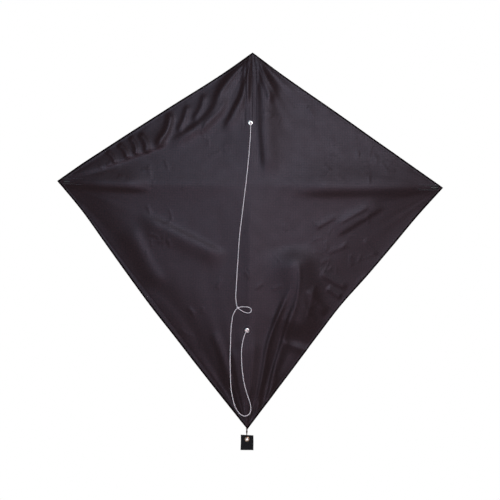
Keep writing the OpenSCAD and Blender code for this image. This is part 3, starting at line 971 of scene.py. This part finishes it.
def nose_strip():
    low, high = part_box("nose_strip")
    columns, rows = 24, 100
    x, z = np.linspace(low.x, high.x, columns), np.linspace(low.z, high.z, rows)
    flat = np.column_stack([np.tile(x, rows), np.repeat(z, columns)])
    flat, faces, _ = punch(flat, grid_faces(rows, columns), [UPPER_EYE], EYE_HOLE)
    lines = []
    for row in STRIP_SEAMS:
        at_eyelet = abs(row * MM - UPPER_EYE.x) < 6 * MM
        from_z = UPPER_EYE.z + 6 * MM if at_eyelet else low.z + 1 * MM
        line = on_centre(np.full(300, row * MM), np.linspace(from_z, high.z - 1 * MM, 300))
        lines += both_faces(line, BEHIND_BACKING)
    return [backing("nose_strip", flat, faces),
            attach(stitches("nose_strip_stitches", lines, pitch=2.6 * MM), "centre")]


def lower_patch():
    low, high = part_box("lower_patch")
    radius = (high.x - low.x) / 2
    rings, spokes = 10, 48

    def circle(r, angle):
        return LOWER_EYE.x + r * np.cos(angle), LOWER_EYE.z + r * np.sin(angle)

    flat = np.vstack([np.column_stack(circle(r, turn(spokes))) for r in np.linspace(EYE_HOLE, radius, rings)])
    patch = backing("lower_patch", flat, grid_faces(rings, spokes, wrap=True))
    line = on_centre(*circle(0.88 * radius, np.linspace(0, 2 * math.pi, 90)))
    sewing = stitches("lower_patch_stitches", both_faces(line, BEHIND_BACKING), pitch=2.4 * MM)
    return [patch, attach(sewing, "centre")]


# ---------------- rod pockets

# Half of a pocket's section in mm, from its flange to the top of the tunnel: distance from the
# rod's line, and distance behind the sail where the flange lies on it
TUNNEL = [(7.0, 0.35), (5.6, 0.35), (4.6, 0.38), (3.95, 0.8), (3.62, 2.4), (3.55, 4.4), (3.25, 6.1),
          (2.5, 7.5), (1.3, 8.3), (0.0, 8.52)]
FLANGE = TUNNEL[0][0]
CLOSED_END = 4.4  # half the flange's width where the pocket is sewn shut
CLOSED_RUN = 4.2  # how far from there the tunnel is fully open
POCKET_CLOTH_THICK = 0.42
POCKET_OVERRUN = 2.5  # how much longer the pocket is than in the CAD


def pocket(node, end, along, across, body):
    """A sewn sleeve on the back of the sail. end is the middle of its closed end's edge, in mm."""
    end, along, across = (np.array(v, float) for v in (end, along, across))
    half = smooth(TUNNEL, 3)
    out, rise = np.vstack([half, (half * (-1, 1))[-2::-1]]).T
    low, high = (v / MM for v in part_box(node))
    length = (high.x - low.x if along[0] else high.z - low.z) + POCKET_OVERRUN
    stations = np.concatenate([np.linspace(0, 5, 12), np.linspace(6, length - 1.2, 22),
                               np.linspace(length - 0.9, length, 4)])

    def place(s, u):
        return (MM * (end[k] + along[k] * s + across[k] * u) for k in (0, 1))

    rows = []
    for s in stations:
        opened = ease(s / CLOSED_RUN)
        flange_share = min(FLANGE, CLOSED_END + 0.5 * s) / FLANGE
        lip = 0.25 * math.exp(-((length - s - 0.7) / 0.6) ** 2)
        wobble = 0.10 * math.sin(0.9 * s) * math.sin(0.37 * s + 1)
        x, z = place(s, out * np.where(abs(out) > 4.2, flange_share, 0.55 + 0.45 * opened))
        lifted = np.clip((rise - 0.4) / 2, 0, 1)
        flat = centre_y(x, z) + TUNNEL[0][1] * MM
        top = (rise + (lip + wobble) * lifted) * MM
        rows.append(np.column_stack([x, flat + lifted * (top - flat) * (0.06 + 0.94 * opened), z]))
    section = distances(np.column_stack([out, rise]))
    uv = np.column_stack([np.tile(section, len(stations)), np.repeat(stations, len(out))]) * MM
    faces = grid_faces(len(stations), len(out))
    solid, faces = thicken(np.concatenate(rows), faces, POCKET_CLOTH_THICK * MM)
    sleeve = make(f"{node}_sleeve", solid, faces, POCKET_CLOTH, np.vstack([uv, uv]))
    lines = []
    for way in (-1, 1):
        s = np.linspace(3, length - 1.5, 120)
        line = on_centre(*place(s, way * np.minimum(TUNNEL[1][0], CLOSED_END + 0.2 * s)))
        lines += both_faces(line, BEHIND_FLANGE)
    sewing = stitches(f"{node}_stitches", lines, pitch=2.6 * MM)
    return [stand_in(sleeve, node, body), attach(sewing, body)]


def pockets():
    """All four pockets, under the name of the wing or of the end of the spine that each is on."""
    nose_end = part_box("nose_pocket")[1].z / MM + POCKET_OVERRUN
    tail_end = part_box("tail_pocket")[0].z / MM - POCKET_OVERRUN
    tip_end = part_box("right_tip_pocket")[1].x / MM + POCKET_OVERRUN
    made = {
        "nose": pocket("nose_pocket", (0, nose_end), (0, -1), (1, 0), "centre"),
        "tail": pocket("tail_pocket", (0, tail_end), (0, 1), (1, 0), "centre"),
    }
    for side in (-1, 1):
        name = f"{word(side)}_tip_pocket"
        made[side] = pocket(name, (side * tip_end, 0), (-side, 0), (0, 1), wing_body(side))
    return made


# ---------------- rods, caps and the centre tube

def carry_over():
    """CAD nodes whose shape is right keep it, and take a finished material."""
    finishes = {
        FIBREGLASS: ("spine_rod", "left_spar", "right_spar"),
        VINYL: ("spine_top_cap", "spine_tail_cap", "left_spar_cap", "right_spar_cap"),
        BRONZE: ("swivel_barrel",),
    }
    for material, nodes in finishes.items():
        for name in nodes:
            obj = frame["nodes"][name]
            obj.data.materials.clear()
            obj.data.materials.append(material)


TUBE_BENDS = (6 * MM, FOLD_X + 11 * MM)  # two distances about the fold line, a longer stretch than the cloth's


def centre_tube(side):
    """Half of the vinyl tube that joins the spars."""
    low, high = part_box("centre_tube")
    outer, end, bore = (high.z - low.z) / 2 / MM, high.x / MM, ROD_R / MM + 0.1
    rings = [end * k / 24 for k in range(1, 23)]
    profile = [(bore, 0), (outer, 0)] + [(outer, at) for at in rings]
    profile += arc((outer - 0.8, end - 0.8), 0.8, 0, 90, 6)
    profile += [(bore + 0.3, end)] + arc((bore + 0.3, end - 0.3), 0.3, 90, 180, 4)
    profile += [(bore, at) for at in reversed(rings)]
    profile = [(r, side * h) for r, h in profile]
    obj = lathe(f"centre_tube_{word(side)}", profile, (0, ROD_Y, 0), "X", VINYL, 48)
    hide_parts("centre_tube")
    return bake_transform(obj, "centre", wing_body(side), start=(side * TUBE_BENDS[0], 0, 0),
                    end=(side * TUBE_BENDS[1], 0, 0))


# ---------------- eyelets

def eyelet(name, body, cloth_front, hang=Vector(), finish=NICKEL):
    """A rolled eyelet in front, and the washer it is clinched over behind. Sizes in mm."""
    node, washer = f"{name}_eyelet", f"{name}_eyelet_washer"
    hole, barrel, rim = 2.4, 3.0, 5.0
    centre = middle(node) + hang
    centre.y = 0
    front, near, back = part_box(node)[0].y / MM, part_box(washer)[0].y / MM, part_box(washer)[1].y / MM
    profile = [(hole, back), (hole, front + 0.72)] + arc((hole + 0.55, front + 0.55), 0.55, 180, 270, 7)
    profile += [(3.5, front + 0.03), (4.1, front + 0.16), (4.6, front + 0.38)]
    profile += arc((rim - 0.16, cloth_front - 0.16), 0.16, -40, 90, 5)
    profile += [(barrel + 0.1, cloth_front), (barrel, cloth_front + 0.1), (barrel, back - 0.1)]
    profile += arc((barrel + 0.32, back + 0.02), 0.32, 180, 20, 5)[1:]
    profile += arc((barrel + 0.1, back + 0.1), 0.55, 20, 150, 6)[1:]
    ring = [(barrel + 0.08, near), (rim - 0.1, near), (rim, near + 0.1)]
    ring += arc((rim - 0.3, back - 0.3), 0.3, 0, 80, 4) + [(3.9, back + 0.05), (barrel + 0.08, back - 0.05)]
    stand_in(lathe(f"{name}_eyelet_shell", profile, centre, "Y", finish), node, body)
    stand_in(lathe(f"{name}_washer_ring", ring, centre, "Y", finish), washer, body)


# ---------------- the bridle

def cord_piece(name, node, path, radius, sides, closed=False, material=BRIDLE_CORD):
    points, faces, uv = sweep(path, radius, sides, closed)
    return stand_in(make(name, points, faces, material, uv, sharp=180), node, "centre")


def trefoil(centre, reach, turned=0.0):
    """A closed overhand knot, drawn tight about its centre."""
    t = np.linspace(0, 2 * math.pi, 97)[:-1]
    x = np.sin(t) + 2 * np.sin(2 * t)
    z = np.cos(t) - 2 * np.cos(2 * t)
    y = -1.3 * np.sin(3 * t)
    c, s = math.cos(turned), math.sin(turned)
    return np.array(centre) + np.column_stack([x * c - z * s, y, x * s + z * c]) / 3 * reach


def knot(name, centre, reach, node, turned=0.0):
    path = trefoil(centre, reach, turned)
    return cord_piece(name, node, path, braid(CORD_R * 0.96), 14, closed=True)


def hitch(name, z):
    """Turns of the bridle round the spine, and the knot behind that closes them."""
    turns = 2.25
    reach = ROD_R + CORD_R + 0.05 * MM
    angle = np.linspace(0, turns * 2 * math.pi, 160)
    path = np.column_stack([-reach * np.cos(angle), ROD_Y + reach * np.sin(angle),
                            z + 1.55 * MM * (angle / (2 * math.pi) - turns / 2)])
    cord_piece(f"{name}_turns", name, path, braid(CORD_R * 0.97), 14)
    knot(f"{name}_knot", (0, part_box(name)[1].y - 1.8 * MM, z), 1.15 * MM, name)


# ---------------- the tail

def tail_loop():
    """The tan loop out of the tail pocket, whose lower stretch carries the swivel."""
    low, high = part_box("tail_loop")
    thick = 0.6
    mid, half = (low.y + high.y) / 2 / MM, (high.y - low.y) / 2 / MM - thick
    bottom, top = low.z / MM + thick, high.z / MM + 1
    rear = [(half - 0.3, top), (half - 0.1, top - 5), (half, bottom + 3), (half - 0.05, bottom + 0.5),
            (half - 0.55, bottom)]
    path = [(0, mid - y, z) for y, z in rear] + [(0, mid, bottom - 0.02)]
    path += [(0, mid + y, z) for y, z in rear[::-1]]
    path = spaced(smooth(path, 8) * MM, 0.2 * MM)
    twist = braid(thick * MM, strands=3, pitch=2.2 * MM)
    cord_piece("tail_loop_cord", "tail_loop", path, twist, 12, material=TAN_CORD)


def swivel_eye():
    """The eye's ring on the tan loop, and its stem down into the barrel."""
    low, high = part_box("swivel_eye")
    mid = (low.y + high.y) / 2
    ring_r, wire = 1.35 * MM, 0.60 * MM
    ring_z = high.z - 1.45 * MM
    around = turn(72)
    path = np.column_stack([ring_r * np.cos(around), np.full(72, mid), ring_z + ring_r * np.sin(around)])
    points, faces, _ = sweep(path, wire, 16, closed=True)
    stand_in(make("swivel_eye_ring", points, faces, BRONZE), "swivel_eye", "swivel")
    end, foot, top = low.z / MM, (ring_z - ring_r) / MM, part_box("swivel_barrel")[1].z / MM
    profile = [(0.05, end), (1.0, end), (1.0, end + 0.6), (0.45, end + 0.6), (0.45, top - 0.05),
               (0.5, top + 0.1), (1.1, top + 0.25), (1.15, top + 0.5), (0.8, foot - 0.25), (0.5, foot),
               (0.05, foot)]
    stem = lathe("swivel_eye_stem", profile, (0, mid, 0), "Z", BRONZE, 40)
    stand_in(stem, "swivel_eye", "swivel")


WIRE_R = 0.45 * MM  # radius of the snap's wire in the CAD
WIDER = 1.9  # how many times wider than that it is drawn


def flattened(name, node, body):
    """A wire piece whose wire is wider than it is deep, except at the fork that carries the gate."""
    source = frame["nodes"][node]
    points = np.array([source.matrix_world @ v.co for v in source.data.vertices])
    x, y, z = points.T
    wider = np.sign(x) * np.where(abs(x) > WIRE_R, abs(x) + (WIDER - 1) * WIRE_R, abs(x) * WIDER)
    fork = (y > middle("tail_tab").y + 0.25 * MM) & (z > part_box("snap_wire")[1].z - 3.2 * MM)
    points = np.column_stack([np.where(fork, x, wider), y, z])
    obj = make(name, points, [tuple(f.vertices) for f in source.data.polygons], BRONZE, sharp=35)
    return stand_in(obj, node, body)


def tail_tab():
    """Webbing cut and sealed, a little out of square, with its ribs and thicker selvedges."""
    low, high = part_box("tail_tab")
    centre, (half_w, half_deep, half_h) = (low + high) / 2, (high - low) / 2
    columns, rows = 76, 130
    u = np.tile(np.linspace(-1, 1, columns), rows)
    v = np.repeat(np.linspace(-1, 1, rows), columns)
    flat = np.column_stack([centre.x + u * half_w, centre.z + v * half_h])
    flat, faces, used = punch(flat, grid_faces(rows, columns), [TAB_EYE], TAB_HOLE)
    u, v = u[used], v[used]
    x, z = flat.T
    skew = np.clip(np.hypot(x - TAB_EYE.x, z - TAB_EYE.z) / (8 * MM), 0, 1)
    rib = 0.07 * MM * np.sin(2 * math.pi * z / (1.4 * MM)) * np.where(abs(u) < 0.9, 1, 0.3)
    cords = 0.05 * MM * np.sin(2 * math.pi * x / (1.8 * MM))
    sealed = np.sqrt(np.clip(np.minimum(1 - abs(u), 1 - abs(v)) * half_w / (0.5 * MM), 0.12, 1))
    deep = half_deep * sealed * 0.97 + (rib + cords) * 0.5 - 0.06 * MM
    curl = 0.35 * MM * v**2 * (v < 0) * skew
    x = x + TAB_HANG.x + skew * (0.35 * MM * (1 - v) * (u > 0) + 0.15 * MM * np.sin(2.5 * v + 1))
    z = z - skew * 0.45 * MM * u * (1 + v) / 2 + 0.1 * MM * np.sin(3 * u) * (v < -0.5)
    points = np.vstack([np.column_stack([x, centre.y + curl + way * deep, z]) for way in (-1, 1)])
    obj = make("tail_tab_webbing", points, doubled(faces, len(x)), WEBBING, np.vstack([flat, flat]))
    stand_in(obj, "tail_tab", "tab")


# ---------------- putting the kite together

def assemble():
    route = spaced(smooth(BRIDLE, 24) * MM, 0.3 * MM)
    cord = cord_piece("bridle_cord_line", "bridle_line", route, braid(CORD_R * 1.03), 16)
    tow = knot("tow_knot_turns", middle("tow_knot"), 1.75 * MM, "tow_knot", 0.6)
    hitch("upper_hitch", UPPER_EYE.z)
    hitch("lower_hitch", LOWER_EYE.z)
    spaced(route, 1 * MM).tolist()
    halves = {side: sail(side) for side in (-1, 1)}
    trim = {side: [] for side in (-1, 1)}
    for side in (-1, 1):
        for edge in ("upper", "lower"):
            trim[side] += [hem(side, edge), hem_stitches(side, edge)]
    sewn = pockets()
    trim[-1] += nose_strip() + lower_patch() + sewn["nose"] + sewn["tail"] + sewn[-1]
    trim[1] += sewn[1]
    for side, cloth in halves.items():
        f"{word(side)}_spar"
        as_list(trim[side])
        centre_tube(side)
    carry_over()
    for name in ("upper", "lower"):
        eyelet(name, "centre", SAIL_FRONT)
    eyelet("tab", "tab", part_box("tail_tab")[0].y / MM - 0.03, TAB_HANG, OLD_BRASS)
    tail_loop()
    swivel_eye()
    flattened("snap_wire_bow", "snap_wire", "snap")
    flattened("snap_gate_leg", "snap_gate", "gate")
    tail_tab()


assemble()


# ---------------- floor, light and world

FLOOR_Z = -0.72
FLOOR_HALF = 12  # half the width of the floor, in metres


def white_to_the_eye(tree, lit, eye):
    """Shows one shader to the camera and lights the scene with the other."""
    path = tree.nodes.new("ShaderNodeLightPath")
    both = tree.nodes.new("ShaderNodeMixShader")
    tree.links.new(path.outputs["Is Camera Ray"], both.inputs[0])
    tree.links.new(lit, both.inputs[1])
    tree.links.new(eye, both.inputs[2])
    return both.outputs[0]


def add_floor():
    material = bpy.data.materials.new("pale_floor")
    material.use_nodes = True
    tree = material.node_tree
    plain = tree.nodes["Principled BSDF"]
    plain.inputs["Base Color"].default_value = (0.4, 0.4, 0.4, 1)
    plain.inputs["Roughness"].default_value = 0.9
    glow = tree.nodes.new("ShaderNodeEmission")
    out = tree.nodes["Material Output"]
    tree.links.new(white_to_the_eye(tree, plain.outputs[0], glow.outputs[0]), out.inputs[0])
    mesh = bpy.data.meshes.new("floor")
    corners = [(x * FLOOR_HALF, y * FLOOR_HALF, FLOOR_Z) for x, y in ((-1, -1), (1, -1), (1, 1), (-1, 1))]
    mesh.from_pydata(corners, [], [(0, 1, 2, 3)])
    mesh.materials.append(material)
    floor = bpy.data.objects.new("floor", mesh)
    bpy.context.scene.collection.objects.link(floor)


def add_world():
    world = bpy.data.worlds.new("studio")
    bpy.context.scene.world = world
    world.use_nodes = True
    tree = world.node_tree
    tree.nodes.clear()
    dim = tree.nodes.new("ShaderNodeBackground")
    dim.inputs["Color"].default_value = (0.95, 0.97, 1, 1)
    dim.inputs["Strength"].default_value = 0.05
    white = tree.nodes.new("ShaderNodeBackground")
    white.inputs["Color"].default_value = (1, 1, 1, 1)
    out = tree.nodes.new("ShaderNodeOutputWorld")
    tree.links.new(white_to_the_eye(tree, dim.outputs[0], white.outputs[0]), out.inputs[0])


def add_softbox(name, place, aim, size, power, color):
    data = bpy.data.lights.new(name, "AREA")
    data.shape = "RECTANGLE"
    data.size, data.size_y = size
    data.energy = power
    data.color = color
    box = bpy.data.objects.new(name, data)
    bpy.context.scene.collection.objects.link(box)
    box.location = place
    box.rotation_euler = (Vector(aim) - Vector(place)).to_track_quat("-Z", "Y").to_euler()


add_floor()
add_world()
# Each softbox: its name, place, aim, width and height, power and colour
for softbox in (
    ("key", (0.25, -2.2, 0.30), (0.1, 0, 0), (0.45, 0.45), 18, (1.0, 1.0, 1.02)),
    ("cool", (-0.24, -2.2, 0.16), (-0.1, 0, 0), (0.45, 0.45), 6, (0.40, 0.78, 1.0)),
    ("warm", (0.09, -2.2, -0.26), (0.1, 0, -0.1), (0.45, 0.45), 5, (1.0, 0.47, 0.58)),
    ("left_side", (-2.4, -0.9, 0.7), (0, 0, -0.1), (1.2, 1.2), 6, (0.92, 0.96, 1.0)),
    ("right_side", (2.4, -0.9, 0.7), (0, 0, -0.1), (1.2, 1.2), 8, (1.0, 0.97, 0.95)),
    ("rear_left", (-1.3, 2.1, 0.7), (0, 0, -0.1), (1.0, 1.0), 70, (1.0, 1.0, 1.0)),
    ("rear_right", (0.7, 2.3, 0.2), (0, 0, -0.1), (0.8, 0.8), 45, (0.95, 0.98, 1.0)),
):
    add_softbox(*softbox)
bpy.context.scene.view_settings.view_transform = "Standard"
